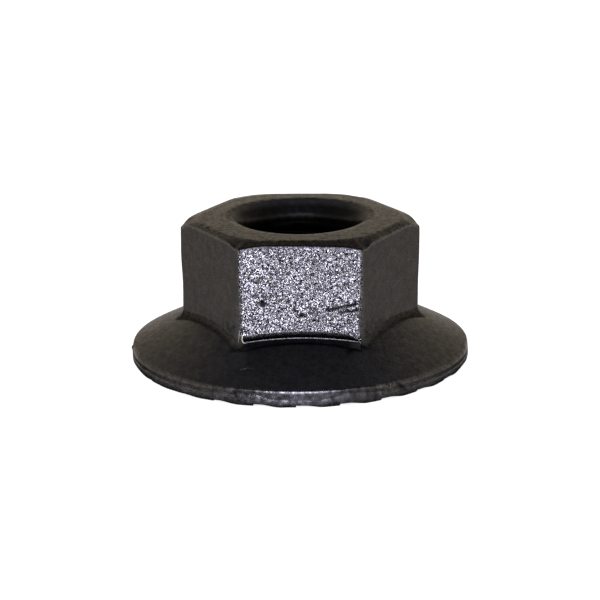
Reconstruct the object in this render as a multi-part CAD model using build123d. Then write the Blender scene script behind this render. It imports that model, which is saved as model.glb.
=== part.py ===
from build123d import *
from math import cos, radians, sin, tan
import os

# Serrated flange nut, M6 x 1.0: one cold-formed piece of steel.
# Millimetres. Origin at the centre of the bearing face, +Z along the thread axis towards the hexagon.

# thread
THREAD_PITCH = 1.0
THREAD_MAJOR_DIAMETER = 6.0
THREAD_MINOR_DIAMETER = THREAD_MAJOR_DIAMETER - 1.0825 * THREAD_PITCH
COUNTERSINK_DIAMETER = 6.42
COUNTERSINK_SLOPE = 45.0  # degrees from the bearing face

# hexagon
ACROSS_FLATS = 10.0
NUT_HEIGHT = 6.92
CORNER_RADIUS = 0.35
LAND_ACROSS_FLATS = 9.16  # the flat top ends on a hexagon with very round corners
LAND_CORNER_RADIUS = 2.77
CHAMFER_SLOPE = 21.5  # degrees from the top face

# flange
FLANGE_DIAMETER = 16.28
FLANGE_SLOPE = 28.0  # degrees from the bearing face
FLANGE_HEIGHT_AT_FLATS = 2.42  # where the cone meets the flats
BASE_FILLET = 0.35
SHOULDER_RADIUS = 0.2  # rim, upper edge
TOE_RADIUS = 0.22  # rim, lower edge

# bearing face: ratchet teeth that slide when the nut is tightened and bite when it is loosened
TOOTH_COUNT = 25
TOOTH_DEPTH = 0.14  # at the rim
TOOTH_LAND_SHARE = 0.25  # flat crest, as a share of the pitch
FIRST_TOOTH_ANGLE = -91.6  # degrees from +X, a steep flank
RECESS_DIAMETER = 8.6  # plain ring inside the teeth
RECESS_DEPTH = 0.15

FLANGE_RADIUS = FLANGE_DIAMETER / 2
FLAT_DISTANCE = ACROSS_FLATS / 2
RIM_TOP = FLANGE_HEIGHT_AT_FLATS - (FLANGE_RADIUS - FLAT_DISTANCE) * tan(radians(FLANGE_SLOPE))
TOOTH_PITCH_ANGLE = 360 / TOOTH_COUNT
BEYOND = 1.0  # how far a cutter runs past the metal


def flange():
    """Conical flange with a rounded rim, as a solid disc."""
    cone_foot = (0, FLANGE_HEIGHT_AT_FLATS + FLAT_DISTANCE * tan(radians(FLANGE_SLOPE)))
    section = Polyline(
        (0, 0),
        (FLANGE_RADIUS, 0),
        (FLANGE_RADIUS, RIM_TOP),
        cone_foot,
        close=True,
    )
    face = make_face(Plane.XZ * section)
    toe = face.vertices().sort_by_distance((FLANGE_RADIUS, 0, 0))[0]
    face = fillet(toe, TOE_RADIUS)
    shoulder = face.vertices().sort_by_distance((FLANGE_RADIUS, 0, RIM_TOP))[0]
    face = fillet(shoulder, SHOULDER_RADIUS)
    return revolve(face, Axis.Z)


def hexagon():
    """Hexagon prism with rounded corners and one flat facing -Y."""
    outline = RegularPolygon(FLAT_DISTANCE, 6, major_radius=False, rotation=0)
    outline = fillet(outline.vertices(), CORNER_RADIUS)
    return extrude(outline, NUT_HEIGHT)


def chamfer_outline(growth):
    """The bevel's outline at this distance outside the flat top's own, and lower as its slope asks."""
    outline = RegularPolygon(LAND_ACROSS_FLATS / 2 + growth, 6, major_radius=False, rotation=0)
    outline = fillet(outline.vertices(), LAND_CORNER_RADIUS + growth)
    return Pos(0, 0, NUT_HEIGHT - growth * tan(radians(CHAMFER_SLOPE))) * outline


def under_chamfer():
    """Everything below the flat top and its bevel, wider than the hexagon."""
    bevel = loft([chamfer_outline(BEYOND), chamfer_outline(0)], ruled=True)
    below = extrude(chamfer_outline(BEYOND), -NUT_HEIGHT)
    return below + bevel


def bore():
    """Cutter for the hole at the thread's minor diameter, with a countersink at each end."""
    wall = THREAD_MINOR_DIAMETER / 2
    lip = COUNTERSINK_DIAMETER / 2
    slope = tan(radians(COUNTERSINK_SLOPE))
    depth = (lip - wall) * slope
    flare = lip + BEYOND / slope
    section = Polyline(
        (0, RECESS_DEPTH - BEYOND),
        (flare, RECESS_DEPTH - BEYOND),
        (wall, depth + RECESS_DEPTH),
        (wall, NUT_HEIGHT - depth),
        (flare, NUT_HEIGHT + BEYOND),
        (0, NUT_HEIGHT + BEYOND),
        close=True,
    )
    return revolve(make_face(Plane.XZ * section), Axis.Z)


def gullet():
    """Cutter for the space behind one tooth: a steep flank along +X, and a ramp down to the next crest."""
    ramp_angle = radians(TOOTH_PITCH_ANGLE * (1 - TOOTH_LAND_SHARE))
    reach = FLANGE_RADIUS + BEYOND
    ramp_end = Vector(cos(ramp_angle), sin(ramp_angle), 0)
    sector = make_face(Polyline((0, 0), (reach, 0), ramp_end * reach, close=True))
    block = Pos(0, 0, -BEYOND) * extrude(sector, 2 * BEYOND)
    flank_top = Vector(FLANGE_RADIUS, 0, TOOTH_DEPTH)
    ramp = Plane(origin=(0, 0, 0), x_dir=ramp_end, z_dir=flank_top.cross(ramp_end))
    return split(block, bisect_by=ramp, keep=Keep.BOTTOM)


def bearing_face_cutters():
    """Ring of gullets and the plain recess inside it."""
    first = Rot(0, 0, FIRST_TOOTH_ANGLE) * gullet()
    gullets = [Rot(0, 0, i * TOOTH_PITCH_ANGLE) * first for i in range(TOOTH_COUNT)]
    recess = Pos(0, 0, RECESS_DEPTH / 2) * Cylinder(RECESS_DIAMETER / 2, RECESS_DEPTH)
    return gullets + [recess]


def on_hexagon_base(edge):
    """True for the edges where the flats and corners stand on the flange cone."""
    middle = edge.center()
    spread = (middle.X**2 + middle.Y**2) ** 0.5
    return spread > FLAT_DISTANCE - 0.1 and RIM_TOP + 0.5 < middle.Z < FLANGE_HEIGHT_AT_FLATS + 0.1


def flange_nut():
    blank = flange() + (hexagon() & under_chamfer())
    blank = fillet(blank.edges().filter_by(on_hexagon_base), BASE_FILLET)
    blank -= bore()
    return blank - bearing_face_cutters()


os.makedirs("parts", exist_ok=True)
nut = flange_nut()
export_step(nut, "parts/flange_nut.step")
print("volume in mm3:", round(nut.volume, 1))
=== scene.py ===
import math

import bpy
import numpy as np
from mathutils import Matrix, Vector, noise


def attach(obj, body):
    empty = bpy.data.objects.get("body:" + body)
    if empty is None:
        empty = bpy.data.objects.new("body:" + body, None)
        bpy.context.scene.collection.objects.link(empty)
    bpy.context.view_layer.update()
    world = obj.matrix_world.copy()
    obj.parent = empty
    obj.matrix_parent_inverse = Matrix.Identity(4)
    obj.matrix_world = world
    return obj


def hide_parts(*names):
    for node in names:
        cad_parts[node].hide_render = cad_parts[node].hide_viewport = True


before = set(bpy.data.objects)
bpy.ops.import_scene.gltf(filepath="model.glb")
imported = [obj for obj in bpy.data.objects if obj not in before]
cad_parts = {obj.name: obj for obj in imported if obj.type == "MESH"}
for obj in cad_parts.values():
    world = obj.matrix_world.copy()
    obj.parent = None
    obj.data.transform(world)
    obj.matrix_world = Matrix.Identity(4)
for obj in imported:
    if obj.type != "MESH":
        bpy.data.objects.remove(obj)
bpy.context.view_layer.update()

# Serrated flange nut, M6 x 1.0. Lengths are in metres and angles in degrees. The front flat faces -Y.
# The skin is one closed mesh: columns at fixed angles round the axis, and rows along a profile that runs
# from the bore's upper mouth over the hexagon, the flange and the teeth to the lower mouth, where the
# thread's rows take over.
MM = 0.001

# hexagon
FLAT_DISTANCE = 5.0 * MM
NUT_HEIGHT = 6.92 * MM
HALF_FLAT = 30.0  # from the middle of a flat to its corner
CORNER_RADIUS_TOP = 0.22 * MM
CORNER_RADIUS_BASE = 0.65 * MM
CORNER_RADIUS_BASE_RIGHT = 0.45 * MM
RIGHT_CORNERS = 0.4  # where TO_RIGHT is above this
CORNER_SPREAD_TOP = 5.2 * MM  # from here down to CORNER_SPREAD_BASE the corners grow rounder
CORNER_SPREAD_BASE = 3.6 * MM
LAND_DISTANCE = 4.58 * MM  # the flat top ends on a rounder hexagon, inside the chamfer
LAND_CORNER_RADIUS = 2.77 * MM
LAND_EDGE_RADIUS = 0.30 * MM
FRONT_LAND_CUT = 0.25 * MM  # in front the flat top ends this much earlier
FRONT_LAND_SPREAD = 32.0
CHAMFER_SLOPE = 21.5  # from the top face
# direction, and the share of the chamfer's depth that is missing there
SHALLOW_CHAMFERS = (
    (270.0, 0.30), (210.0, 0.55), (150.0, 0.35), (90.0, 0.4), (120.0, 0.22), (60.0, 0.1), (30.0, 0.15))
SHALLOW_CHAMFER_SPREAD = 32.0
CORNER_TIP_DROP = 0.25 * MM  # the corners' upper tips are rounded off, the front flat's own less
FRONT_TIP_DROP = 0.06 * MM
CORNER_TIP_SPREAD = 4.6
FRONT_FADES = (HALF_FLAT, 36.0)  # from the front: where the front flat's own forms give way
BACK_TIPS_SPREAD = 60.0  # the tips drop less towards the back
EDGE_WAVE = 0.022 * MM  # the side flats' upper edges are this ragged
EDGE_WAVE_LENGTH = 2.2
EDGE_WAVE_ENDS = (75.0, 90.0)  # from the front
EDGE_WAVE_SEED = 5.0
EDGE_RADIUS = 0.07 * MM
TIP_EDGE_RADIUS = 0.16 * MM  # at the outer corners' tips
TIP_EDGE_SPREAD = 6.0
WALL_MARK_TOP = 6.0 * MM  # the walls' straight rows run from this mark to the next
WALL_MARK_BASE = 2.95 * MM
WALL_STRETCHES = ((4.2 * MM, 14), (3.4 * MM, 18), (WALL_MARK_BASE, 6))  # height, rows down to it
FRONT_EDGE_TILT = 0.0225  # the front flat's upper edge falls towards +X
LEAN = 0.55  # the forged hexagon leans this much towards +X

# thread
THREAD_PITCH = 1.0 * MM
THREAD_MINOR_RADIUS = 2.459 * MM
THREAD_CREST_SHARE = 0.25  # of the pitch
THREAD_EDGE_ROUND = 0.02  # of the pitch, to either side of a crest's edge
THREAD_ROOT_RADIUS = 0.10 * MM
THREAD_PHASE_HEIGHT = 0.476 * MM  # sets where the crests lie, as in the photograph
FLANK_ANGLE = 60.0  # from the axis
ROOT_ARC_TURNS = (60.0, 38.0, 18.0)  # from the middle of the round root
PITCHES_BELOW = 2.5  # how far below its lower end ring the helix starts
SPARE_TURNS = 3
CUT_SOFTNESS = 0.015 * MM  # how softly a mouth cuts the thread off
END_SNAP = 0.012 * MM  # a row this close to an end ring joins it

# the bore's mouths
MOUTH_RADIUS = 3.00 * MM  # the bore's upper mouth is a short plain wall with a worn cone over it
MOUTH_FRONT_STRETCH = 0.17 * MM  # the mouth reaches this much further out in front
MOUTH_STRETCH_SPREAD = 50.0
MOUTH_DEPTH = 1.05 * MM
MOUTH_CONE = (0.66 * MM, 0.08 * MM)  # at the back, where it is wide and soft, and in front
MOUTH_INNER_ROUND = (0.40 * MM, 0.06 * MM)
MOUTH_OUTER_ROUND = (0.35 * MM, 0.16 * MM)
MOUTH_TURNS_SOFT = (-0.6, 0.9)  # on TO_BACK
WORN_LIP_WIDTH = 0.07 * MM
COUNTERSINK_RADIUS = 3.21 * MM  # the lower mouth
COUNTERSINK_BAND = 0.30 * MM  # how far up the lower cone the turned part of the mesh goes
LOWER_LIP_RADIUS = 0.10 * MM

# flange
FLANGE_RADIUS = 8.155 * MM
FLANGE_SLOPE = 28.0  # from the bearing face
FLANGE_HEIGHT_AT_FLATS = 2.42 * MM
FOOT_FILLET = 0.38 * MM
CORNER_FOOT_FILLET = 0.62 * MM
CORNER_FOOT_SPREAD = 7.0
CONE_SWELLS = ((150.0, 0.045 * MM), (25.0, 0.024 * MM))  # direction, and how much the cone swells there
CONE_SWELL_RADIUS = 7.8 * MM
CONE_SWELL_WIDTH = 0.8 * MM
CONE_SWELL_SPREAD = 24.0

# The die that trimmed the front flat stopped short of the flange: it left a pocket with a thin lip.
POCKET_WIDTH = 0.25 * MM
POCKET_FILLET = 0.25 * MM
POCKET_SLOPE = 15.0
POCKET_LEFT_END = (26.0, 28.2)  # from the middle of the flat, where the pocket closes
POCKET_RIGHT_END = (27.6, 28.9)
POCKET_NARROWS = (22.5, 28.6)  # to the right, where it grows narrower
POCKET_NARROWING = 0.9
LIP_HEIGHT = 2.49 * MM
LIP_SAG = 30.0  # per metre: the lip follows the flange down on both sides of the middle
LIP_THICKNESS = 0.05 * MM
LIP_RADIUS = 0.02 * MM
UNDER_LIP_SLOPE = 75.0
UNDER_LIP_BLEND = 0.1 * MM
FOOT_MARK_RISE = 0.06 * MM  # where the pocket's rows rest, above the fillet of a flat that has none
FOOT_MARK_STEP = 0.015 * MM

# rim
SHOULDER_RUN = 0.04 * MM  # the rim leans back: its upper edge lies this far inside its belly
FRONT_SHOULDER_RUN = 0.11 * MM
FRONT_SHOULDER_RISE = (0.2, 0.8)  # how far to the front: between these the run grows
SHOULDER_RADIUS = 0.07 * MM
SOFT_SHOULDER_RADIUS = 0.34 * MM  # to the left and right of the flat place
SOFT_SHOULDER = (16.0, 34.0, 75.0, 95.0)  # from the front: where it starts, is full, and ends again
CREASE_SHARE = 0.4  # the crease lies this share of the run inside the belly
CREASE_HEIGHT = 0.60 * MM
CREASE_RADIUS = 0.08 * MM
CREASE_WAVE = 0.05 * MM
CREASE_WAVES_PER_RADIAN = 12.0
CREASE_SOFT_DROP = 0.18 * MM  # the crease is lower under the soft edge
DENT_HALF_WIDTH = 15.0  # the rim's flat place in front, where the crease dips
DENT_HEIGHT = 0.26 * MM
BELLY_HEIGHT = 0.24 * MM
BELLY_RADIUS = 0.25 * MM

# bearing face
TOOTH_COUNT = 25
TOOTH_ANGLE = 360.0 / TOOTH_COUNT
FIRST_FLANK = -91.6
TOOTH_DEPTH = 0.14 * MM
VALLEY_SHARE = 0.18  # of a tooth
RAMP_END_SHARE = 0.68
WORN_TEETH_DIRECTION = -142.0
WORN_TEETH_SPREAD = 18.0
WORN_TEETH_LOSS = 0.6
TOE_AT_VALLEY = 0.07 * MM
TOE_AT_CREST = 0.27 * MM
TOE_RISE = (0.05, 1.0)  # shares of a tooth
TOE_INSET = 0.01 * MM
TOOTH_END_RADIUS = 0.02 * MM
RECESS_RADIUS = 4.3 * MM
RECESS_DEPTH = 0.15 * MM
RECESS_WALL_RUN = 0.02 * MM
RECESS_FILLET = 0.05 * MM

# camera, as the nut is photographed
IMAGE_SIDE = 600.0
SENSOR_WIDTH = 36.0
CAMERA_DISTANCE = 110.0 * MM
CAMERA_ELEVATION = 16.44
CAMERA_AIM_SIDE = 0.011 * MM
CAMERA_AIM_HEIGHT = 2.756 * MM
CAMERA_ROLL = 0.62
FOCAL_PIXELS = 2270.0
CLIP_START = 1.0 * MM
CLIP_END = 10.0


def smooth_step(low, high, value):
    """0 below low, 1 above high, and a smooth rise between."""
    share = np.clip((value - low) / (high - low), 0.0, 1.0)
    return share * share * (3.0 - 2.0 * share)


def bump(distance, width):
    """1 in the middle, and a smooth fall to 0 on both sides."""
    return np.exp(-((distance / width) ** 2))


def blend(share, first, second):
    """The first where the share is 1, and the second where it is 0."""
    return share * first + (1.0 - share) * second


def tangent(angle):
    return math.tan(math.radians(angle))


def angle_between(angles, direction):
    """How far each angle is from a direction, from -180 to 180."""
    return (angles - direction + 180.0) % 360.0 - 180.0


def noise_at(points):
    """A smooth random value from -1 to 1 at each of these points."""
    return np.array([noise.noise(Vector(place)) for place in points])


def noise_along(values, seed=0.0):
    """A smooth random value from -1 to 1 for each of these values."""
    return noise_at([(value, 0.0, seed) for value in values])


# ---------- columns
FRONT_DIRECTION = -90.0
COLUMNS_PER_DEGREE = 0.70
FRONT_EXTRA = 1.10
FRONT_HALF_WIDTH = 33.0
CORNER_EXTRA = 1.6
CORNER_HALF_WIDTH = 3.0
FLANK_HALF_WIDTH = 0.07  # half of a tooth flank's own small lean
DENSITY_SAMPLES = 200  # in each tooth


def column_density(angles):
    """Columns per degree: more round the front flat and at the hexagon's corners."""
    front = FRONT_EXTRA * (np.abs(angle_between(angles, FRONT_DIRECTION)) < FRONT_HALF_WIDTH)
    from_corner = np.abs((angles - FRONT_DIRECTION) % (2.0 * HALF_FLAT) - HALF_FLAT)
    return COLUMNS_PER_DEGREE + front + CORNER_EXTRA * bump(from_corner, CORNER_HALF_WIDTH)


def column_angles():
    """One angle for each column of the mesh, with a close pair of columns at every tooth flank."""
    angles = []
    for tooth in range(TOOTH_COUNT):
        start = FIRST_FLANK + tooth * TOOTH_ANGLE + FLANK_HALF_WIDTH
        end = start + TOOTH_ANGLE - 2.0 * FLANK_HALF_WIDTH
        fine = np.linspace(start, end, DENSITY_SAMPLES)
        density = column_density(fine)
        total = np.concatenate([[0.0], np.cumsum((density[1:] + density[:-1]) / 2.0 * np.diff(fine))])
        count = int(round(total[-1]))
        angles.extend(np.interp(np.linspace(0.0, total[-1], count + 1), total, fine))
    return np.array(angles)


ANGLES = column_angles()
TURNS = np.radians(ANGLES)
TO_RIGHT, TO_BACK = np.cos(TURNS), np.sin(TURNS)  # 1 straight that way, and -1 on the other side
COLUMN_COUNT = len(ANGLES)
FROM_FRONT = angle_between(ANGLES, FRONT_DIRECTION)  # below 0 to the left
ON_FRONT = np.abs(FROM_FRONT) < HALF_FLAT
FROM_FLAT = np.radians((ANGLES - FRONT_DIRECTION + HALF_FLAT) % (2.0 * HALF_FLAT) - HALF_FLAT)  # radians
FROM_CORNER = HALF_FLAT - np.abs(np.degrees(FROM_FLAT))


# ---------- profiles
def hexagon_radius(flat_distance, corner_radius):
    """Distance from the axis, in every column, to a hexagon with round corners and a flat facing -Y."""
    from_corner = math.pi / 6 - np.abs(FROM_FLAT)
    arc_centre = (flat_distance - corner_radius) / math.cos(math.pi / 6)
    inside = np.maximum(corner_radius**2 - (arc_centre * np.sin(from_corner)) ** 2, 0.0)
    on_arc = arc_centre * np.cos(from_corner) + np.sqrt(inside)
    arc_starts = np.arctan2((flat_distance - corner_radius) * math.tan(math.pi / 6), flat_distance)
    return np.where(np.abs(FROM_FLAT) > arc_starts, on_arc, flat_distance / np.cos(FROM_FLAT))


def point(radius, height):
    """A profile point for every column."""
    return np.array([np.broadcast_to(radius, COLUMN_COUNT), np.broadcast_to(height, COLUMN_COUNT)])


SMALLEST_STEP = 1e-12
SMALLEST_ARC = 0.004 * MM


def unit(step):
    return step / np.maximum(np.hypot(*step), SMALLEST_STEP)


def round_corner(before, corner, after, radius, steps):
    """The arc of this radius that joins two straight runs of the profile."""
    inward, outward = unit(corner - before), unit(after - corner)
    half_turn = np.arccos(np.clip((inward * outward).sum(0), -1.0, 1.0)) / 2.0
    reach = np.maximum(radius * np.tan(half_turn), SMALLEST_ARC)
    start, end, weight = corner - inward * reach, corner + outward * reach, np.cos(half_turn)
    rows = []
    for share in np.linspace(0.0, 1.0, steps + 1):
        parts = ((1 - share) ** 2, 2 * weight * share * (1 - share), share**2)
        rows.append((parts[0] * start + parts[1] * corner + parts[2] * end) / sum(parts))
    return rows


def rounded_profile(stations):
    """Rows along straight runs joined by arcs. A station is (name, point, radius, arc steps, run steps)."""
    rows, names = [stations[0][1]], [stations[0][0]]
    for index in range(1, len(stations)):
        name, corner, radius, arc_steps, run_steps = stations[index]
        arc = [corner]
        if index < len(stations) - 1:
            arc = round_corner(stations[index - 1][1], corner, stations[index + 1][1], radius, arc_steps)
        start = rows[-1]
        for share in np.linspace(0.0, 1.0, run_steps + 1)[1:]:
            rows.append(start + (arc[0] - start) * share)
            names.append(name + "_run")
        rows.extend(arc[1:])
        names.extend([name] * (len(arc) - 1))
    return rows, names


def corner_radius_at(height):
    """The hexagon's corners are rounder towards the flange."""
    spread = 1.0 - smooth_step(CORNER_SPREAD_BASE, CORNER_SPREAD_TOP, height)
    base = np.where(TO_RIGHT > RIGHT_CORNERS, CORNER_RADIUS_BASE_RIGHT, CORNER_RADIUS_BASE)
    return CORNER_RADIUS_TOP + (base - CORNER_RADIUS_TOP) * spread


def cone_height(radius):
    """Height of the flange's cone at a distance from the axis."""
    return FLANGE_HEIGHT_AT_FLATS - (radius - FLAT_DISTANCE) * tangent(FLANGE_SLOPE)


RIM_TOP = cone_height(FLANGE_RADIUS)


def chamfer_drop(wall, land):
    """How far the chamfer has fallen where it meets the wall, in every column."""
    depth = np.ones(COLUMN_COUNT)
    for direction, loss in SHALLOW_CHAMFERS:
        depth -= loss * bump(angle_between(ANGLES, direction), SHALLOW_CHAMFER_SPREAD)
    bevel = (wall - land) * np.cos(FROM_FLAT) * tangent(CHAMFER_SLOPE) * depth
    drop = blend(1.0 - smooth_step(*FRONT_FADES, np.abs(FROM_FRONT)), FRONT_TIP_DROP, CORNER_TIP_DROP)
    drop = drop * (1.0 - bump(angle_between(ANGLES, -FRONT_DIRECTION), BACK_TIPS_SPREAD))
    tip = drop * bump(FROM_CORNER, CORNER_TIP_SPREAD)
    level_at_corners = np.cos(3.0 * FROM_FLAT)
    tilt = FRONT_EDGE_TILT * wall * np.sin(FROM_FLAT) * level_at_corners * ON_FRONT
    return bevel + tip + tilt


def mouth_radius():
    """Radius of the mouth's wall in every column."""
    return MOUTH_RADIUS + MOUTH_FRONT_STRETCH * bump(FROM_FRONT, MOUTH_STRETCH_SPREAD)


def mouth_stations():
    """The bore's mouth: its wall, the worn cone, and the lip's ring, worn and painted brighter in front as a
    highlight.
    """
    wall = mouth_radius()
    to_back = smooth_step(*MOUTH_TURNS_SOFT, TO_BACK)
    cone = blend(to_back, *MOUTH_CONE)
    inner = blend(to_back, *MOUTH_INNER_ROUND)
    outer = blend(to_back, *MOUTH_OUTER_ROUND)
    return [
        ("bore_top", point(wall, NUT_HEIGHT - MOUTH_DEPTH), 0.0, 0, 0),
        ("mouth", point(wall, NUT_HEIGHT - cone), inner, 6, 2),
        ("mouth", point(wall + cone, NUT_HEIGHT), outer, 5, 2),
        ("worn_lip", point(wall + cone + outer / 2.0 + WORN_LIP_WIDTH, NUT_HEIGHT), 0.0, 0, 2),
    ]


def edge_waves():
    """The upper edges of the side flats are a little ragged."""
    side = np.abs(FROM_FRONT)
    on_side = smooth_step(*FRONT_FADES, side) * (1.0 - smooth_step(*EDGE_WAVE_ENDS, side))
    return on_side * noise_along(ANGLES / EDGE_WAVE_LENGTH, EDGE_WAVE_SEED)


def top_edge_radius():
    """The hexagon's upper edge is softer at the outer corners' tips."""
    from_tip = np.minimum(np.abs(angle_between(ANGLES, 0.0)), np.abs(angle_between(ANGLES, 180.0)))
    return EDGE_RADIUS + (TIP_EDGE_RADIUS - EDGE_RADIUS) * bump(from_tip, TIP_EDGE_SPREAD)


def upper_rows():
    """From the mouth over the lip, the land and the chamfer to the top of the wall."""
    land = hexagon_radius(LAND_DISTANCE, LAND_CORNER_RADIUS)
    wall = hexagon_radius(FLAT_DISTANCE, CORNER_RADIUS_TOP)
    edge_height = NUT_HEIGHT - chamfer_drop(wall, land) - EDGE_WAVE * edge_waves()
    land -= FRONT_LAND_CUT * bump(FROM_FRONT, FRONT_LAND_SPREAD)
    return rounded_profile(mouth_stations() + [
        ("land_edge", point(land, NUT_HEIGHT), LAND_EDGE_RADIUS, 3, 8),
        ("top_edge", point(wall, edge_height), top_edge_radius(), 4, 5),
        ("wall_top", point(wall, WALL_MARK_TOP), 0.0, 0, 6),
    ])


def wall_rows():
    """The six flats and their corners between the two marks, with closer rows where the knocks are."""
    heights, top = [], WALL_MARK_TOP
    for base, count in WALL_STRETCHES:
        heights.extend(np.linspace(top, base, count + 1)[1:])
        top = base
    rows = [point(hexagon_radius(FLAT_DISTANCE, corner_radius_at(height)), height) for height in heights[:-1]]
    return rows, ["wall"] * len(rows)


def tooth_phase():
    """Where each column lies in its tooth: 0 just past a steep flank, 1 at the next one."""
    return ((ANGLES - FIRST_FLANK) / TOOTH_ANGLE) % 1.0


def tooth_gap():
    """Height of the gap under the rim in every column: a valley, a ramp and a flat crest."""
    worn = bump(angle_between(ANGLES, WORN_TEETH_DIRECTION), WORN_TEETH_SPREAD)
    depth = TOOTH_DEPTH * (1.0 - WORN_TEETH_LOSS * worn)
    return depth * (1.0 - smooth_step(VALLEY_SHARE, RAMP_END_SHARE, tooth_phase()))


def toe_radius():
    """The rim's lower edge is rounder under a crest than over a valley."""
    return TOE_AT_VALLEY + (TOE_AT_CREST - TOE_AT_VALLEY) * smooth_step(*TOE_RISE, tooth_phase())


def closing(start, end, angle):
    """1 up to the start, 0 from the end on, and a quarter of an ellipse between."""
    return np.sqrt(1.0 - np.clip((angle - start) / (end - start), 0.0, 1.0) ** 2)


def pocket_share():
    """1 in the columns of the front flat's pocket, 0 outside it, and round at its two ends."""
    return closing(*POCKET_LEFT_END, -FROM_FRONT) * closing(*POCKET_RIGHT_END, FROM_FRONT)


def pocket_depth():
    """The pocket grows narrower towards its right end."""
    return 1.0 - POCKET_NARROWING * smooth_step(*POCKET_NARROWS, FROM_FRONT)


def foot_fillet():
    """The foot of the wall is rounder at the corners."""
    return FOOT_FILLET + (CORNER_FOOT_FILLET - FOOT_FILLET) * bump(FROM_CORNER, CORNER_FOOT_SPREAD)


def foot_stations():
    """Where the flats stand on the flange: a plain fillet, or the front flat's pocket and lip."""
    share, depth, fillet = pocket_share(), pocket_depth(), foot_fillet()
    wall = hexagon_radius(FLAT_DISTANCE, corner_radius_at(WALL_MARK_BASE))
    lip = (FLAT_DISTANCE + POCKET_WIDTH) / np.cos(FROM_FLAT)
    lip_height = LIP_HEIGHT - LIP_SAG * (lip * np.sin(FROM_FLAT)) ** 2
    pocket_height = lip_height + POCKET_WIDTH * tangent(POCKET_SLOPE) * depth
    under = point(lip + LIP_RADIUS, lip_height - LIP_THICKNESS)
    gap = np.maximum(under[1] - cone_height(under[0]), 0.0)
    landing = under[0] + gap / (tangent(UNDER_LIP_SLOPE) - tangent(FLANGE_SLOPE))
    foot = point(wall, cone_height(wall))
    mark = foot[1] + fillet * tangent((90.0 - FLANGE_SLOPE) / 2.0) + FOOT_MARK_RISE
    pocket = blend(share, point(wall, pocket_height), point(wall, mark))
    lip_edge = blend(share, point(lip, lip_height), point(wall, mark - FOOT_MARK_STEP))
    under_lip = blend(share, under, point(wall, mark - 2.0 * FOOT_MARK_STEP))
    foot = blend(share, point(landing, cone_height(landing)), foot)
    return [
        ("wall_base", point(wall, WALL_MARK_BASE), 0.0, 0, 0),
        ("pocket", pocket, POCKET_FILLET * depth, 6, 2),
        ("lip_edge", lip_edge, LIP_RADIUS, 3, 1),
        ("under_lip", under_lip, LIP_RADIUS, 2, 1),
        ("foot", foot, blend(share, UNDER_LIP_BLEND, fillet), 6, 2),
    ]


def soft_shoulder():
    """1 where the rim's upper edge is soft, to the left and right of its front, and 0 elsewhere."""
    side = np.abs(FROM_FRONT)
    return smooth_step(*SOFT_SHOULDER[:2], side) * (1.0 - smooth_step(*SOFT_SHOULDER[2:], side))


def crease_height():
    """A knock has flattened the rim in front: the crease under the flat place dips there."""
    dip = np.clip(1.0 - (FROM_FRONT / DENT_HALF_WIDTH) ** 2, 0.0, 1.0)
    wander = noise_along(TURNS * CREASE_WAVES_PER_RADIAN)
    return CREASE_HEIGHT - DENT_HEIGHT * dip - CREASE_SOFT_DROP * soft_shoulder() + CREASE_WAVE * wander


def lower_rows():
    """From the foot of the wall over the flange, the rim and the teeth to the lower countersink."""
    gap = tooth_gap()
    gap_at_recess = gap * RECESS_RADIUS / FLANGE_RADIUS
    in_front = smooth_step(*FRONT_SHOULDER_RISE, -TO_BACK)
    shoulder = FLANGE_RADIUS - blend(in_front, FRONT_SHOULDER_RUN, SHOULDER_RUN)
    shoulder_radius = blend(soft_shoulder(), SOFT_SHOULDER_RADIUS, SHOULDER_RADIUS)
    crease = FLANGE_RADIUS - CREASE_SHARE * (FLANGE_RADIUS - shoulder)
    bore_end = point(COUNTERSINK_RADIUS - COUNTERSINK_BAND, RECESS_DEPTH + COUNTERSINK_BAND)
    return rounded_profile(foot_stations() + [
        ("shoulder", point(shoulder, cone_height(shoulder)), shoulder_radius, 5, 19),
        ("crease", point(crease, crease_height()), CREASE_RADIUS, 3, 4),
        ("belly", point(FLANGE_RADIUS, BELLY_HEIGHT), BELLY_RADIUS, 3, 1),
        ("toe", point(FLANGE_RADIUS - TOE_INSET, gap), toe_radius(), 5, 1),
        ("tooth", point(RECESS_RADIUS, gap_at_recess), TOOTH_END_RADIUS, 1, 10),
        ("recess_wall", point(RECESS_RADIUS - RECESS_WALL_RUN, RECESS_DEPTH), RECESS_FILLET, 2, 1),
        ("lower_lip", point(COUNTERSINK_RADIUS, RECESS_DEPTH), LOWER_LIP_RADIUS, 3, 4),
        ("bore_base", bore_end, 0.0, 0, 2),
    ])


# ---------- thread
def thread_phases():
    """Shares of one pitch at which the thread gets a row, and its distance from the axis there."""
    crest = THREAD_CREST_SHARE / 2.0
    bevel = THREAD_EDGE_ROUND * THREAD_PITCH * tangent(FLANK_ANGLE)
    depth = (0.5 - crest) * THREAD_PITCH * tangent(FLANK_ANGLE) - THREAD_ROOT_RADIUS
    rising = [(crest - THREAD_EDGE_ROUND, 0.0), (crest + THREAD_EDGE_ROUND, bevel)]
    for turn in ROOT_ARC_TURNS:
        away = THREAD_ROOT_RADIUS * math.sin(math.radians(turn)) / THREAD_PITCH
        rising.append((0.5 - away, depth - THREAD_ROOT_RADIUS * (1.0 - math.cos(math.radians(turn)))))
    falling = [(1.0 - share, out) for share, out in reversed(rising)]
    return [(share, THREAD_MINOR_RADIUS + out) for share, out in rising + [(0.5, depth)] + falling]


def bore_radius(thread_radius, height, mouth):
    """The thread, or the mouth that cuts it off near either end."""
    upper_cone = mouth - (NUT_HEIGHT - MOUTH_DEPTH - height)
    lower_cone = COUNTERSINK_RADIUS - (height - RECESS_DEPTH)
    cone = np.maximum(upper_cone, lower_cone)
    return (thread_radius + cone + np.sqrt((thread_radius - cone) ** 2 + CUT_SOFTNESS**2)) / 2.0


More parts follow.
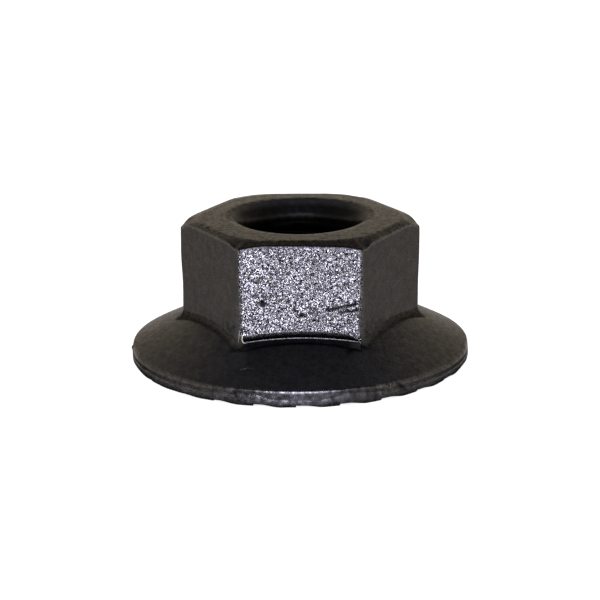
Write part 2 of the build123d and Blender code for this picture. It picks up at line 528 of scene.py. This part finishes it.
def thread_vertices(first_free, top_ring, base_ring):
    """The helix's places, and which vertex each of its rows has in every column."""
    phases, mouth = thread_phases(), mouth_radius()
    per_turn = len(phases)
    top, base = NUT_HEIGHT - MOUTH_DEPTH, RECESS_DEPTH + COUNTERSINK_BAND
    turns = int(math.ceil((top - base) / THREAD_PITCH)) + SPARE_TURNS
    start = base - PITCHES_BELOW * THREAD_PITCH + THREAD_PHASE_HEIGHT
    places, ids = [], np.zeros((COLUMN_COUNT, turns * per_turn), dtype=int)
    for column, angle in enumerate(ANGLES):
        rise, turn = THREAD_PITCH * (angle - ANGLES[0]) / 360.0, math.radians(angle)
        for row in range(turns * per_turn):
            share, radius = phases[row % per_turn]
            height = start + rise + (row // per_turn + share) * THREAD_PITCH
            if height > top - END_SNAP:
                ids[column, row] = top_ring[column]
            elif height < base + END_SNAP:
                ids[column, row] = base_ring[column]
            else:
                ids[column, row] = first_free + len(places)
                reach = bore_radius(radius, height, mouth[column])
                places.append((reach * math.cos(turn), reach * math.sin(turn), height))
    return places, ids


def thread_strip(first_free, top_ring, base_ring):
    """The bore as one helical strip of rows, cut off at the two end rings. Returns places and faces."""
    places, ids = thread_vertices(first_free, top_ring, base_ring)
    per_turn, faces = len(thread_phases()), []
    for column in range(COLUMN_COUNT):
        following = (column + 1) % COLUMN_COUNT
        jump = per_turn if following == 0 else 0  # the last column meets the first one, a turn higher
        for row in range(ids.shape[1] - 1 - jump):
            corners = (ids[column, row], ids[column, row + 1],
                       ids[following, row + 1 + jump], ids[following, row + jump])
            face = [corner for place, corner in enumerate(corners) if corner != corners[place - 1]]
            if len(set(face)) > 2:
                faces.append(face)
    return places, faces


def nut_grid():
    """All turned rows from the upper bore ring round the outside to the lower one, with their names."""
    rows, names = [], []
    for own_rows, own_names in (upper_rows(), wall_rows(), lower_rows()):
        rows.extend(own_rows)
        names.extend(own_names)
    return np.array(rows), names


def ring_faces(row_count):
    """The faces between neighbouring rows and columns of the turned grid."""
    here = np.arange(COLUMN_COUNT)
    following = np.roll(here, -1)
    ring = np.stack([here, here + COLUMN_COUNT, following + COLUMN_COUNT, following], axis=-1)
    return [tuple(face) for row in range(row_count - 1) for face in (ring + row * COLUMN_COUNT).tolist()]


# ---------- knocks, shades and burrs
# Each knock's path in mm before the blank leans, its half width and depth in mm (below 0 it stands proud),
# and the share of the coat's brightness that is left in it: painted shade in the pits, scratches and nick,
# and a painted shadow at the feet of the front flat.
KNOCKS = {
    "upper_pit": (((-1.78, -5.0, 4.09), (-1.72, -5.0, 4.03)), 0.095, 0.08, 0.0),
    "lower_pit": (((0.04, -5.0, 3.46), (0.10, -5.0, 3.46)), 0.085, 0.06, 0.0),
    "upper_scratch": (((1.22, -5.0, 3.69), (1.83, -5.0, 3.82), (2.56, -5.0, 3.96)), 0.06, 0.04, 0.0),
    "lower_scratch": (((1.78, -5.0, 3.58), (2.29, -5.0, 3.62), (2.66, -5.0, 3.67)), 0.055, 0.03, 0.0),
    "left_foot_painted_shadow": (((-3.24, -5.22, 1.90), (-2.96, -5.20, 1.90)), 0.13, 0.02, 0.45),
    "right_foot_painted_shadow": (((2.15, -5.59, 1.88), (2.38, -5.42, 1.93), (2.66, -5.25, 1.94), (2.95, -5.10, 1.97),
                    (3.20, -5.14, 2.02)), 0.10, 0.02, 0.2),
    "rim_nick": (((4.55, -6.74, 0.70), (4.72, -6.63, 0.45)), 0.13, 0.07, 0.05),
    "rim_burr": (((-8.12, -0.63, 0.66),), 0.12, -0.08, 1.0),
}


def distance_to_path(places, path):
    """How far each place is from a line through these points."""
    nearest = np.full(len(places), np.inf)
    ends = list(zip(path[:-1], path[1:])) or [(path[0], path[0])]
    for start, end in ends:
        start, step = np.array(start) * MM, (np.array(end) - np.array(start)) * MM
        share = np.clip((places - start) @ step / max(step @ step, SMALLEST_STEP**2), 0.0, 1.0)
        nearest = np.minimum(nearest, np.linalg.norm(places - start - share[:, None] * step, axis=1))
    return nearest


def knock(places):
    """How far in each place is knocked, and what share of its brightness the painted shade in it leaves."""
    depth, left = np.zeros(len(places)), np.ones(len(places))
    for path, half_width, deep, brightness in KNOCKS.values():
        share = bump(distance_to_path(places, path), half_width * MM)
        depth += deep * MM * share
        left *= 1.0 - (1.0 - brightness) * share
    return depth, left


CONE_SWELL_START = RIM_TOP - 0.15 * MM
CONE_SWELL_END = RIM_TOP + 0.05 * MM


def cone_swell(places):
    """How far the flange's cone bulges in each place."""
    side, depth, height = places.T
    angles = np.degrees(np.arctan2(depth, side))
    ring = bump(np.hypot(side, depth) - CONE_SWELL_RADIUS, CONE_SWELL_WIDTH)
    ring = ring * smooth_step(CONE_SWELL_START, CONE_SWELL_END, height)
    return ring * sum(swell * bump(angle_between(angles, direction), CONE_SWELL_SPREAD)
                      for direction, swell in CONE_SWELLS)


UNDER_LIP_TONE = 0.016  # the share of the coat's brightness that the painted shade leaves there
UNDER_LIP_FADES = (0.06 * MM, 0.20 * MM)  # how far out from the lip the painted shade fades and the coat grows paler again
UNDER_LIP_TOP = 0.6 * LIP_THICKNESS  # how far under the lip's upper edge it starts
UNDER_LIP_START = FLAT_DISTANCE + 0.5 * POCKET_WIDTH
UNDER_LIP_HALF_WIDTH = 2.86 * MM
# which end of the lip (1 is the right one), what is added to the painted shade there, and between which
# places
UNDER_LIP_ENDS = ((1.0, 0.05, 2.20 * MM, 2.70 * MM), (-1.0, 0.30, 2.60 * MM, 2.76 * MM))


def under_lip_shade(places):
    """Painted shade: under the front flat's lip the coat is painted nearly black, and the flange grows paler
    away from it.
    """
    side, depth, height = places.T
    below = height < LIP_HEIGHT - LIP_SAG * side**2 - UNDER_LIP_TOP
    ahead = (np.abs(side) < UNDER_LIP_HALF_WIDTH) & (depth < -UNDER_LIP_START)
    start = UNDER_LIP_TONE
    for end, more, low, high in UNDER_LIP_ENDS:
        start = start + more * smooth_step(low, high, end * side)
    out = -depth - FLAT_DISTANCE - POCKET_WIDTH - LIP_RADIUS
    tone = start + (1.0 - start) * smooth_step(*UNDER_LIP_FADES, out)
    return np.where(below & ahead, tone, 1.0)


BLOTCH_SIZE = 0.22 * MM
BLOTCH_STRENGTH = 0.9  # on the rim, in full only in front
BLOTCH_SIDE_SHARE = 0.25
BLOTCH_FRONT = (0.80, 0.95)  # how far to the front: between these they grow to full
BLOTCH_START = FLANGE_RADIUS - FRONT_SHOULDER_RUN - 0.05 * MM
LAND_BLOTCH_STRENGTH = 0.45
LAND_BLOTCH_BASE = NUT_HEIGHT - 0.03 * MM


def blotches(places):
    """The rim and the land are worn in blotches."""
    side, depth, height = places.T
    radii = np.hypot(side, depth)
    on_rim = (radii > BLOTCH_START) & (depth < 0.0)
    ahead = smooth_step(*BLOTCH_FRONT, -depth / radii)
    strength = BLOTCH_STRENGTH * blend(ahead, 1.0, BLOTCH_SIDE_SHARE) * on_rim
    strength += LAND_BLOTCH_STRENGTH * (height > LAND_BLOTCH_BASE)
    return 1.0 + strength * noise_at(places / BLOTCH_SIZE)


REFLECTION_EDGE = -2.50 * MM  # where the painted reflection's edge lies: paler to the left of it, darker to the right
REFLECTION_EDGE_WIDTH = 0.16 * MM
REFLECTION_REACH = 0.9 * MM
REFLECTION_STRENGTH = 0.16
REFLECTION_FADES = (1.25 * MM, 1.6 * MM)  # the heights between which it fades out towards the rim
REFLECTION_TOP = 2.2 * MM
REFLECTION_START = 4.5 * MM  # in front of this distance from the axis


def painted_reflection_edge(places):
    """Painted reflection: the edge of a reflection is painted on the flange's cone, in front."""
    side, depth, height = places.T
    on_cone = (depth < -REFLECTION_START) & (height < REFLECTION_TOP) & (np.hypot(side, depth) <= BLOTCH_START)
    right = smooth_step(REFLECTION_EDGE - REFLECTION_EDGE_WIDTH / 2, REFLECTION_EDGE + REFLECTION_EDGE_WIDTH / 2, side)
    near = bump(side - REFLECTION_EDGE, REFLECTION_REACH) * on_cone * smooth_step(*REFLECTION_FADES, height)
    return 1.0 + REFLECTION_STRENGTH * near * (1.0 - 2.0 * right)


MOUTH_DARKENS = (0.02 * MM, 0.30 * MM)  # depths under the top, at the mouth's back, between which the painted shade grows
MOUTH_DARKER = 0.75
MOUTH_BACK = (0.2, 0.9)  # how far to the back: between these that painted shade grows
BORE_DARKENS = (0.72 * MM, 1.05 * MM)  # depths under the top, all round, between which the bore's painted shade grows
BORE_DARKER = 0.87
BORE_SHADE_RADIUS = MOUTH_RADIUS + MOUTH_CONE[0] + MOUTH_OUTER_ROUND[0]
BORE_SHADE_BASE = RECESS_DEPTH + 0.01 * MM


def bore_shade(places):
    """Painted shade: the coat is painted darker and duller down in the bore."""
    side, depth, height = places.T
    radii = np.hypot(side, depth)
    inside = (radii < BORE_SHADE_RADIUS) & (height >= BORE_SHADE_BASE)
    under = NUT_HEIGHT - height
    to_back = smooth_step(*MOUTH_BACK, depth / radii)
    shade = 1.0 - MOUTH_DARKER * to_back * smooth_step(*MOUTH_DARKENS, under)
    shade *= 1.0 - BORE_DARKER * smooth_step(*BORE_DARKENS, under)
    return np.where(inside, shade, 1.0)


# Fine burrs and worn lines, as thin raised threads of metal, painted bright as highlights: path and radius in
# mm, and brightness.
BURRS = {
    "lip_curl": (((-2.36, -5.27, 2.28), (-2.51, -5.27, 2.24), (-2.65, -5.24, 2.28), (-2.71, -5.17, 2.40),
                  (-2.69, -5.10, 2.53), (-2.61, -5.06, 2.61), (-2.47, -5.04, 2.64)), 0.026, 14.0),
    "corner_line": (((-2.82, -4.98, 2.80), (-2.84, -5.0, 2.55), (-2.89, -5.08, 2.24)), 0.020, 7.0),
    "lip_end": (((2.66, -5.22, 2.36), (2.82, -5.22, 2.37)), 0.028, 6.0),
    "lip_end_drop": (((2.68, -5.24, 2.36), (2.74, -5.27, 2.24), (2.80, -5.28, 2.12)), 0.045, 3.0),
    "flat_dash": (((3.28, -4.32, 3.80), (3.37, -4.17, 3.84)), 0.018, 3.0),
    "flange_dot": (((7.03, -3.64, 0.86), (7.08, -3.67, 0.85)), 0.03, 5.0),
    "flange_line": (((-2.78, -6.45, 1.345), (-2.46, -6.42, 1.425), (-2.09, -6.56, 1.42)), 0.010, 1.2),
    "rim_line": (((4.10, -6.98, 0.56), (4.12, -6.93, 0.76)), 0.022, 5.0),
    "rim_arc": (((-5.72, -5.79, 0.50), (-5.52, -5.98, 0.33), (-5.30, -6.18, 0.26),
                 (-5.00, -6.43, 0.30)), 0.016, 2.0),
}
BURR_SIDES = 6
BURR_END = 0.3  # how thick a burr still is at its ends


def burr(path, radius):
    """Places and faces of one closed, tapered thread of metal along a path."""
    path = np.array(path) * MM
    along = np.gradient(path, axis=0)
    along /= np.linalg.norm(along, axis=1)[:, None]
    outward = path * (1.0, 1.0, 0.0)
    side = np.cross(along, outward)
    side /= np.linalg.norm(side, axis=1)[:, None]
    up = np.cross(side, along)
    thick = np.full(len(path), radius * MM)
    thick[[0, -1]] *= BURR_END
    places, faces = [], []
    for step in range(BURR_SIDES):
        turn = 2.0 * math.pi * step / BURR_SIDES
        places.append(path + thick[:, None] * (math.cos(turn) * side + math.sin(turn) * up))
    places = np.array(places).transpose(1, 0, 2).reshape(-1, 3)
    for row in range(len(path) - 1):
        for step in range(BURR_SIDES):
            here, beside = row * BURR_SIDES + step, row * BURR_SIDES + (step + 1) % BURR_SIDES
            faces.append((here, beside, beside + BURR_SIDES, here + BURR_SIDES))
    faces.append(tuple(reversed(range(BURR_SIDES))))
    faces.append(tuple(range(len(places) - BURR_SIDES, len(places))))
    return places, faces


def all_burrs(first_free):
    """Every burr's places and faces, and the brightness of each place's painted highlight."""
    places, faces, brightness = [], [], []
    for path, radius, bright in BURRS.values():
        own_places, own_faces = burr(path, radius)
        start = first_free + len(places)
        faces.extend([tuple(start + corner for corner in face) for face in own_faces])
        places.extend(own_places.tolist())
        brightness.extend([bright] * len(own_places))
    return places, faces, brightness


def lean_hexagon(places):
    """Leans what stands above the rim towards +X, as the forged blank does."""
    rise = np.maximum(places[:, 2] - RIM_TOP, 0.0)
    places[:, 0] += rise * tangent(LEAN)


SKIN_WAVES = ((0.9 * MM, 0.006 * MM), (0.35 * MM, 0.003 * MM))  # width and height of the forged skin's waves


def roughen(mesh):
    """Moves the skin by its waves and knocks. Returns each vertex's share of the coat's brightness: random
    blotches, and painted shade and reflection.
    """
    count = len(mesh.vertices)
    places, normals = np.empty(count * 3), np.empty(count * 3)
    mesh.vertices.foreach_get("co", places)
    mesh.vertex_normals.foreach_get("vector", normals)
    places, normals = places.reshape(-1, 3), normals.reshape(-1, 3)
    moves = np.zeros(count)
    for width, height in SKIN_WAVES:
        moves += height * noise_at(places / width)
    depth, left = knock(places)
    shade = left * bore_shade(places) * blotches(places) * painted_reflection_edge(places) * under_lip_shade(places)
    moves += cone_swell(places)
    places += normals * (moves - depth)[:, None]
    lean_hexagon(places)
    mesh.vertices.foreach_set("co", places.ravel())
    mesh.update()
    return shade


# ---------- zones and their finish
# The zone of each kind of row. A run has its own zone, or that of the arc at its end.
ZONE_OF_ROW = {
    "bore_top": "bore", "mouth": "mouth", "worn_lip": "worn_lip", "land_edge": "land",
    "top_edge_run": "chamfer", "top_edge": "edge",
    "wall_top": "flat", "wall": "flat", "wall_base": "flat",
    "pocket_run": "flat", "pocket": "pocket",
    "lip_edge_run": "pocket", "lip_edge": "lip",
    "under_lip": "shade", "foot_run": "shade", "foot": "foot",
    "shoulder_run": "cone", "shoulder": "shoulder",
    "crease_run": "rim", "crease": "crease", "belly": "belly",
}
IN_POCKET = 0.01  # from this share of the pocket on
# where the lip's worn ring and its painted highlight end towards the back
WORN_LIP_GLINT_ENDS = -0.2  # on TO_BACK
FAR_TIP_HALF_WIDTH = 11.0


def zone_changes():
    """Where on the nut a row's zone is another one: (columns, old zones, new zone)."""
    in_pocket = pocket_share() > IN_POCKET
    # where the chamfer's far tips are painted paler: painted light over a dark notch
    far_tip_painted_light = (np.abs(TO_RIGHT) > math.cos(math.radians(FAR_TIP_HALF_WIDTH))) & (TO_BACK > 0.0)
    return (
        (in_pocket, "foot", "pocket_foot"),
        (~in_pocket, ("pocket", "lip", "shade"), "flat"),
        (~ON_FRONT, "flat", "side"),
        # the front chamfer and the front flat's upper edge carry painted shade
        (ON_FRONT, "chamfer", "front_chamfer_painted_shade"),
        (ON_FRONT, "edge", "front_edge_painted_shade"),
        (far_tip_painted_light, "chamfer", "far_tip_painted_light"),
        (TO_BACK > WORN_LIP_GLINT_ENDS, "worn_lip", "mouth"),
    )


def zones_of(row_name, changes):
    """The zone of every column of one row."""
    arc_zone = ZONE_OF_ROW.get(row_name.removesuffix("_run"), "toe")
    zones = np.full(COLUMN_COUNT, ZONE_OF_ROW.get(row_name, arc_zone), dtype=object)
    for columns, old, new in changes:
        zones[columns & np.isin(zones, old)] = new
    return zones


WEAR_UNEVENNESS = 0.9
WEAR_SOFT_LOSS = 0.8  # how much of that the soft shoulder loses
WEAR_PATCH = 1.7
# painted reflection: the land is painted paler towards the back
LAND_PAINTED_LIGHT_BEHIND = 0.55
LAND_PAINTED_LIGHT_SPAN = (-0.5, 0.9)  # on TO_BACK
# painted light: where the shoulder is soft its painted highlight is dimmer and the rim is painted paler
SOFT_SHOULDER_PAINTED_DIMMING = 0.2
SOFT_RIM_PAINTED_LIGHT = 0.65


def brightness_changes():
    """How the brightness varies round the nut, by random wear and by painted light: (zones, factor of every
    column).
    """
    soft = soft_shoulder()
    uneven = WEAR_UNEVENNESS * (1.0 - WEAR_SOFT_LOSS * soft) * noise_along(ANGLES / WEAR_PATCH)
    return (
        (("edge", "front_edge_painted_shade", "lip", "worn_lip", "crease", "shoulder"), 1.0 + uneven),
        (("land",), 1.0 + LAND_PAINTED_LIGHT_BEHIND * smooth_step(*LAND_PAINTED_LIGHT_SPAN, TO_BACK)),
        (("shoulder",), 1.0 - SOFT_SHOULDER_PAINTED_DIMMING * soft),
        (("rim", "crease", "belly"), 1.0 + SOFT_RIM_PAINTED_LIGHT * soft),
    )


def finish_of_rows(row_names):
    """Grain, roughness and brightness of every vertex of the turned rows."""
    zone_rules, brightness_rules, rows = zone_changes(), brightness_changes(), []
    for name in row_names:
        zones = zones_of(name, zone_rules)
        row = np.array([FINISHES[zone] for zone in zones])
        for where, factor in brightness_rules:
            row[:, 2] *= np.where(np.isin(zones, where), factor, 1.0)
        rows.append(row)
    return np.concatenate(rows)


def set_finish(mesh, row_names, burr_painted_glint, shade):
    """Writes each vertex's finish, with its painted light and shade, for the material to read."""
    turned = finish_of_rows(row_names)
    thread_count = len(mesh.vertices) - len(turned) - len(burr_painted_glint)
    thread = np.tile(FINISHES["bore"], (thread_count, 1))
    grain, roughness, _ = FINISHES["lip"]
    burrs = np.array([(grain, roughness, brightness) for brightness in burr_painted_glint])
    finish = np.concatenate([turned, thread, burrs])
    finish[:, 2] *= shade
    for place, name in enumerate(("grain", "roughness", "brightness")):
        layer = mesh.attributes.new(name, "FLOAT", "POINT")
        layer.data.foreach_set("value", finish[:, place])


# ---------- the nut
SHARP_ANGLE = 50.0


def new_object(name, data):
    """An object with this data, in the scene."""
    made = bpy.data.objects.new(name, data)
    bpy.context.scene.collection.objects.link(made)
    return made


def make_nut():
    """The whole nut as one mesh."""
    rows, names = nut_grid()
    radii, heights = rows[:, 0], rows[:, 1]
    places = np.stack([radii * TO_RIGHT, radii * TO_BACK, heights], axis=-1).reshape(-1, 3)
    top_ring = list(range(COLUMN_COUNT))
    base_ring = list(range((len(rows) - 1) * COLUMN_COUNT, len(rows) * COLUMN_COUNT))
    thread_places, thread_faces = thread_strip(len(places), top_ring, base_ring)
    places = places.tolist() + thread_places
    burr_places, burr_faces, burr_painted_glint = all_burrs(len(places))
    mesh = bpy.data.meshes.new("flange_nut_skin")
    mesh.from_pydata(places + burr_places, [], ring_faces(len(rows)) + thread_faces + burr_faces)
    mesh.validate()
    mesh.shade_smooth()
    shade = roughen(mesh)
    mesh.set_sharp_from_angle(angle=math.radians(SHARP_ANGLE))
    set_finish(mesh, names, burr_painted_glint, shade)
    return new_object("flange_nut_skin", mesh)


# ---------- materials
DARK_COAT = (0.042, 0.041, 0.040, 1.0)
PALE_COAT = (0.056, 0.054, 0.052, 1.0)
COAT_EDGE_TINT = (0.58, 0.56, 0.53, 1.0)  # the porous coat reflects less at a flat angle than bare metal
BLACK = (0.0, 0.0, 0.0, 1.0)
COAT_PATCHES_PER_MM = 2.5
COAT_PATCH_DETAIL = 4.0
COAT_PATCH_RANGE = (0.3, 0.7)
CRYSTALS_PER_MM = 24.0
CRYSTAL_LEAN = 0.45  # how far a crystal's face may lean from the skin, as a share of its normal
CRYSTAL_RISE = (0.0, 0.0, 0.08)  # the die that trimmed the flats left their grain leaning upwards
PIT_SHARE = 0.22  # this share of the crystals is a dark pit
PIT_TONE = (0.02, 0.02, 0.02, 1.0)
BRIGHT_SHARE = 0.85
BRIGHT_TONE = (2.15, 2.15, 2.15, 1.0)
MOTTLE_PER_MM = 4.0
MOTTLE_DETAIL = 1.0
MOTTLE_LEAN = 0.30
PAPER = (0.8, 0.8, 0.8, 1.0)
FLOOR_GLOW = 0.75
MIDDLE = (0.5, 0.5, 0.5)  # of a texture's random colours
ONE = (1.0, 1.0, 1.0)  # leaves a colour as it is
# finish of each zone: how strongly the crystals lean, how rough each one is, and how bright its coat is,
# with painted light and shade in some zones
FINISHES = {
    "flat": (1.0, 0.27, 1.0),
    "side": (0.2, 0.34, 0.84),
    "land": (0.4, 0.36, 1.1),
    "chamfer": (0.4, 0.34, 0.88),
    # painted shade: the front chamfer is darker than the others
    "front_chamfer_painted_shade": (0.5, 0.34, 0.73),
    # painted shade: the front flat's upper edge is darker, which dims its highlight
    "front_edge_painted_shade": (0.5, 0.34, 0.45),
    # painted light: paler to fill in a dark notch at the outer corners' far tips
    "far_tip_painted_light": (0.1, 0.34, 1.8),
    # worn, and painted bright in front as a highlight
    "worn_lip": (0.2, 0.34, 2.3),
    "edge": (0.5, 0.34, 1.2),
    "mouth": (0.05, 0.44, 1.0),
    "bore": (0.1, 0.45, 1.0),
    # painted shade in the pocket above the lip
    "pocket": (0.7, 0.40, 0.2),
    # partly worn metal and partly a painted highlight on the thin lip
    "lip": (0.2, 0.30, 2.2),
    "shade": (0.2, 0.45, 1.0),
    # painted shade in the fillet where the walls stand on the flange
    "foot": (0.3, 0.42, 0.65),
    "pocket_foot": (0.2, 0.42, 1.0),
    "cone": (0.2, 0.40, 1.0),
    # painted highlight along the rim's shoulder
    "shoulder": (0.3, 0.30, 1.25),
    # rim, crease, belly and toe: painted darker than the cone, a painted shade that dims the front lamp's
    # reflection
    "rim": (0.35, 0.50, 0.34),
    "crease": (0.35, 0.40, 0.65),
    "belly": (0.35, 0.50, 0.34),
    "toe": (0.35, 0.55, 0.35),
}


def new_material(name):
    material = bpy.data.materials.new(name)
    material.use_nodes = True
    material.node_tree.nodes.clear()
    return material, material.node_tree.nodes, material.node_tree.links


def vector_math(nodes, links, operation, first, second=None):
    """A vector sum or the like of a socket and a second socket, vector or number."""
    node = nodes.new("ShaderNodeVectorMath")
    node.operation = operation
    links.new(first, node.inputs[0])
    if isinstance(second, tuple):
        node.inputs[1].default_value = second
    elif operation == "SCALE":
        node.inputs["Scale"].default_value = second
    elif second is not None:
        links.new(second, node.inputs[1])
    return node.outputs["Vector"]


def noise_texture(nodes, links, where, scale, detail):
    texture = nodes.new("ShaderNodeTexNoise")
    texture.inputs["Scale"].default_value = scale
    texture.inputs["Detail"].default_value = detail
    links.new(where, texture.inputs["Vector"])
    return texture


def ramp(nodes, links, value, low, low_colour, high, high_colour):
    """A colour that runs from one value to the other."""
    node = nodes.new("ShaderNodeValToRGB")
    first, last = node.color_ramp.elements
    first.position, first.color = low, low_colour
    last.position, last.color = high, high_colour
    links.new(value, node.inputs["Fac"])
    return node.outputs["Color"]


def attribute(nodes, name):
    node = nodes.new("ShaderNodeAttribute")
    node.attribute_name = name
    return node.outputs["Fac"]


def mottle(nodes, links, in_mm):
    """Softer and wider unevenness under the crystals."""
    waves = noise_texture(nodes, links, in_mm, MOTTLE_PER_MM, MOTTLE_DETAIL)
    lean = vector_math(nodes, links, "SUBTRACT", waves.outputs["Color"], MIDDLE)
    return vector_math(nodes, links, "SCALE", lean, MOTTLE_LEAN)


def crystal_cells(nodes, links, in_mm):
    """A random colour for every small crystal of the coat."""
    crystals = nodes.new("ShaderNodeTexVoronoi")
    crystals.inputs["Scale"].default_value = CRYSTALS_PER_MM
    links.new(in_mm, crystals.inputs["Vector"])
    return crystals.outputs["Color"]


def crystal_normal(nodes, links, in_mm, cells):
    """Every crystal leans its own way."""
    lean = vector_math(nodes, links, "SUBTRACT", cells, MIDDLE)
    lean = vector_math(nodes, links, "SCALE", lean, CRYSTAL_LEAN)
    lean = vector_math(nodes, links, "ADD", lean, CRYSTAL_RISE)
    lean = vector_math(nodes, links, "MULTIPLY", lean, attribute(nodes, "grain"))
    lean = vector_math(nodes, links, "ADD", lean, mottle(nodes, links, in_mm))
    skin = nodes.new("ShaderNodeNewGeometry").outputs["Normal"]
    return vector_math(nodes, links, "NORMALIZE", vector_math(nodes, links, "ADD", skin, lean))


def crystal_fleck(nodes, links, cells):
    """How bright each crystal is, from a dark pit to a bright face; the same everywhere without grain."""
    split = nodes.new("ShaderNodeSeparateXYZ")
    links.new(cells, split.inputs["Vector"])
    fleck = ramp(nodes, links, split.outputs["X"], PIT_SHARE, PIT_TONE, BRIGHT_SHARE, BRIGHT_TONE)
    fleck = vector_math(nodes, links, "SUBTRACT", fleck, ONE)
    fleck = vector_math(nodes, links, "MULTIPLY", fleck, attribute(nodes, "grain"))
    return vector_math(nodes, links, "ADD", fleck, ONE)


def phosphate_material():
    """Black zinc phosphate on forged steel: a dark, slightly glossy skin of small crystals."""
    material, nodes, links = new_material("black_phosphate")
    output = nodes.new("ShaderNodeOutputMaterial")
    shader = nodes.new("ShaderNodeBsdfPrincipled")
    links.new(shader.outputs["BSDF"], output.inputs["Surface"])
    place = nodes.new("ShaderNodeTexCoord").outputs["Object"]
    in_mm = vector_math(nodes, links, "SCALE", place, 1.0 / MM)
    cells = crystal_cells(nodes, links, in_mm)
    brightness = attribute(nodes, "brightness")
    patches = noise_texture(nodes, links, in_mm, COAT_PATCHES_PER_MM, COAT_PATCH_DETAIL).outputs["Fac"]
    low, high = COAT_PATCH_RANGE
    coat = ramp(nodes, links, patches, low, DARK_COAT, high, PALE_COAT)
    coat = vector_math(nodes, links, "MULTIPLY", coat, brightness)
    coat = vector_math(nodes, links, "MULTIPLY", coat, crystal_fleck(nodes, links, cells))
    links.new(coat, shader.inputs["Base Color"])
    tint = ramp(nodes, links, brightness, 0.0, BLACK, 1.0, COAT_EDGE_TINT)
    links.new(tint, shader.inputs["Specular Tint"])
    links.new(crystal_normal(nodes, links, in_mm, cells), shader.inputs["Normal"])
    links.new(attribute(nodes, "roughness"), shader.inputs["Roughness"])
    shader.inputs["Metallic"].default_value = 1.0
    return material


def floor_material():
    """White paper: lit by the lamps, and brought up to plain white for what looks at it."""
    material, nodes, links = new_material("white_floor")
    output = nodes.new("ShaderNodeOutputMaterial")
    paper = nodes.new("ShaderNodeBsdfDiffuse")
    paper.inputs["Color"].default_value = PAPER
    glow = nodes.new("ShaderNodeEmission")
    rays = nodes.new("ShaderNodeLightPath")
    looked_at = rays.outputs["Is Camera Ray"]
    for kind in ("Is Glossy Ray", "Is Transmission Ray"):
        either = nodes.new("ShaderNodeMath")
        either.operation = "MAXIMUM"
        links.new(looked_at, either.inputs[0])
        links.new(rays.outputs[kind], either.inputs[1])
        looked_at = either.outputs[0]
    strength = nodes.new("ShaderNodeMath")
    strength.operation = "MULTIPLY"
    strength.inputs[1].default_value = FLOOR_GLOW
    links.new(looked_at, strength.inputs[0])
    links.new(strength.outputs[0], glow.inputs["Strength"])
    both = nodes.new("ShaderNodeAddShader")
    links.new(paper.outputs["BSDF"], both.inputs[0])
    links.new(glow.outputs["Emission"], both.inputs[1])
    links.new(both.outputs["Shader"], output.inputs["Surface"])
    return material


# ---------- stage
FLOOR_HALF_SIDE = 2000.0 * MM
HORIZON_COLOUR = (1.14, 1.06, 0.91, 1.0)
OVERHEAD_COLOUR = (0.12, 0.12, 0.17, 1.0)
HORIZON_TOP = 0.33  # on a dome of radius 1, the height where the bright band starts to fade
OVERHEAD_START = 0.88  # and where it has faded
LAMP_COLOUR = (0.75, 0.76, 1.0)
# name, distance from the nut, height, width, how tall, watts
LAMPS = (
    ("front_lamp", 300.0 * MM, 20.0 * MM, 200.0 * MM, 40.0 * MM, 1.8),
    ("upper_lamp", 230.0 * MM, 195.0 * MM, 160.0 * MM, 50.0 * MM, 0.4),
)


def make_floor():
    side = FLOOR_HALF_SIDE
    corners = [(-side, -side, 0), (side, -side, 0), (side, side, 0), (-side, side, 0)]
    mesh = bpy.data.meshes.new("floor")
    mesh.from_pydata(corners, [], [(0, 1, 2, 3)])
    floor = new_object("floor", mesh)
    floor.data.materials.append(floor_material())


def make_world():
    """A soft dome: bright and a little warm at the horizon, dark overhead."""
    world = bpy.data.worlds.new("studio")
    world.use_nodes = True
    nodes, links = world.node_tree.nodes, world.node_tree.links
    nodes.clear()
    output = nodes.new("ShaderNodeOutputWorld")
    background = nodes.new("ShaderNodeBackground")
    split = nodes.new("ShaderNodeSeparateXYZ")
    links.new(nodes.new("ShaderNodeTexCoord").outputs["Generated"], split.inputs["Vector"])
    height = split.outputs["Z"]
    dome = ramp(nodes, links, height, HORIZON_TOP, HORIZON_COLOUR, OVERHEAD_START, OVERHEAD_COLOUR)
    links.new(dome, background.inputs["Color"])
    links.new(background.outputs["Background"], output.inputs["Surface"])
    bpy.context.scene.world = world


def make_lamp(name, distance, height, width, tall, watts):
    """A soft box in front of the nut, facing it."""
    lamp = bpy.data.lights.new(name, "AREA")
    lamp.shape = "RECTANGLE"
    lamp.size = width
    lamp.size_y = tall
    lamp.energy = watts
    lamp.color = LAMP_COLOUR
    holder = new_object(name, lamp)
    holder.location = (0.0, -distance, height)
    holder.rotation_euler = (math.pi / 2 - math.atan2(height - NUT_HEIGHT, distance), 0.0, 0.0)


def make_camera():
    """The photograph's view: a long lens a little above the nut."""
    data = bpy.data.cameras.new("camera")
    data.sensor_width = SENSOR_WIDTH
    data.lens = FOCAL_PIXELS * SENSOR_WIDTH / IMAGE_SIDE
    data.clip_start = CLIP_START
    data.clip_end = CLIP_END
    camera = new_object("camera", data)
    elevation = math.radians(CAMERA_ELEVATION)
    place = Vector((0.0, -math.cos(elevation), math.sin(elevation))) * CAMERA_DISTANCE
    place += Vector((CAMERA_AIM_SIDE, 0.0, CAMERA_AIM_HEIGHT))
    tilt = Matrix.Rotation(math.pi / 2 - elevation, 4, "X")
    roll = Matrix.Rotation(math.radians(-CAMERA_ROLL), 4, "Z")
    camera.matrix_world = Matrix.Translation(place) @ tilt @ roll
    bpy.context.scene.camera = camera


def dress():
    """Puts the skin in the place of the solid's plain node."""
    nut = make_nut()
    nut.data.materials.append(phosphate_material())
    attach(nut, "root")
    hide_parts("flange_nut")


dress()
make_floor()
make_world()
for lamp_sizes in LAMPS:
    make_lamp(*lamp_sizes)
make_camera()
bpy.context.scene.view_settings.view_transform = "Standard"
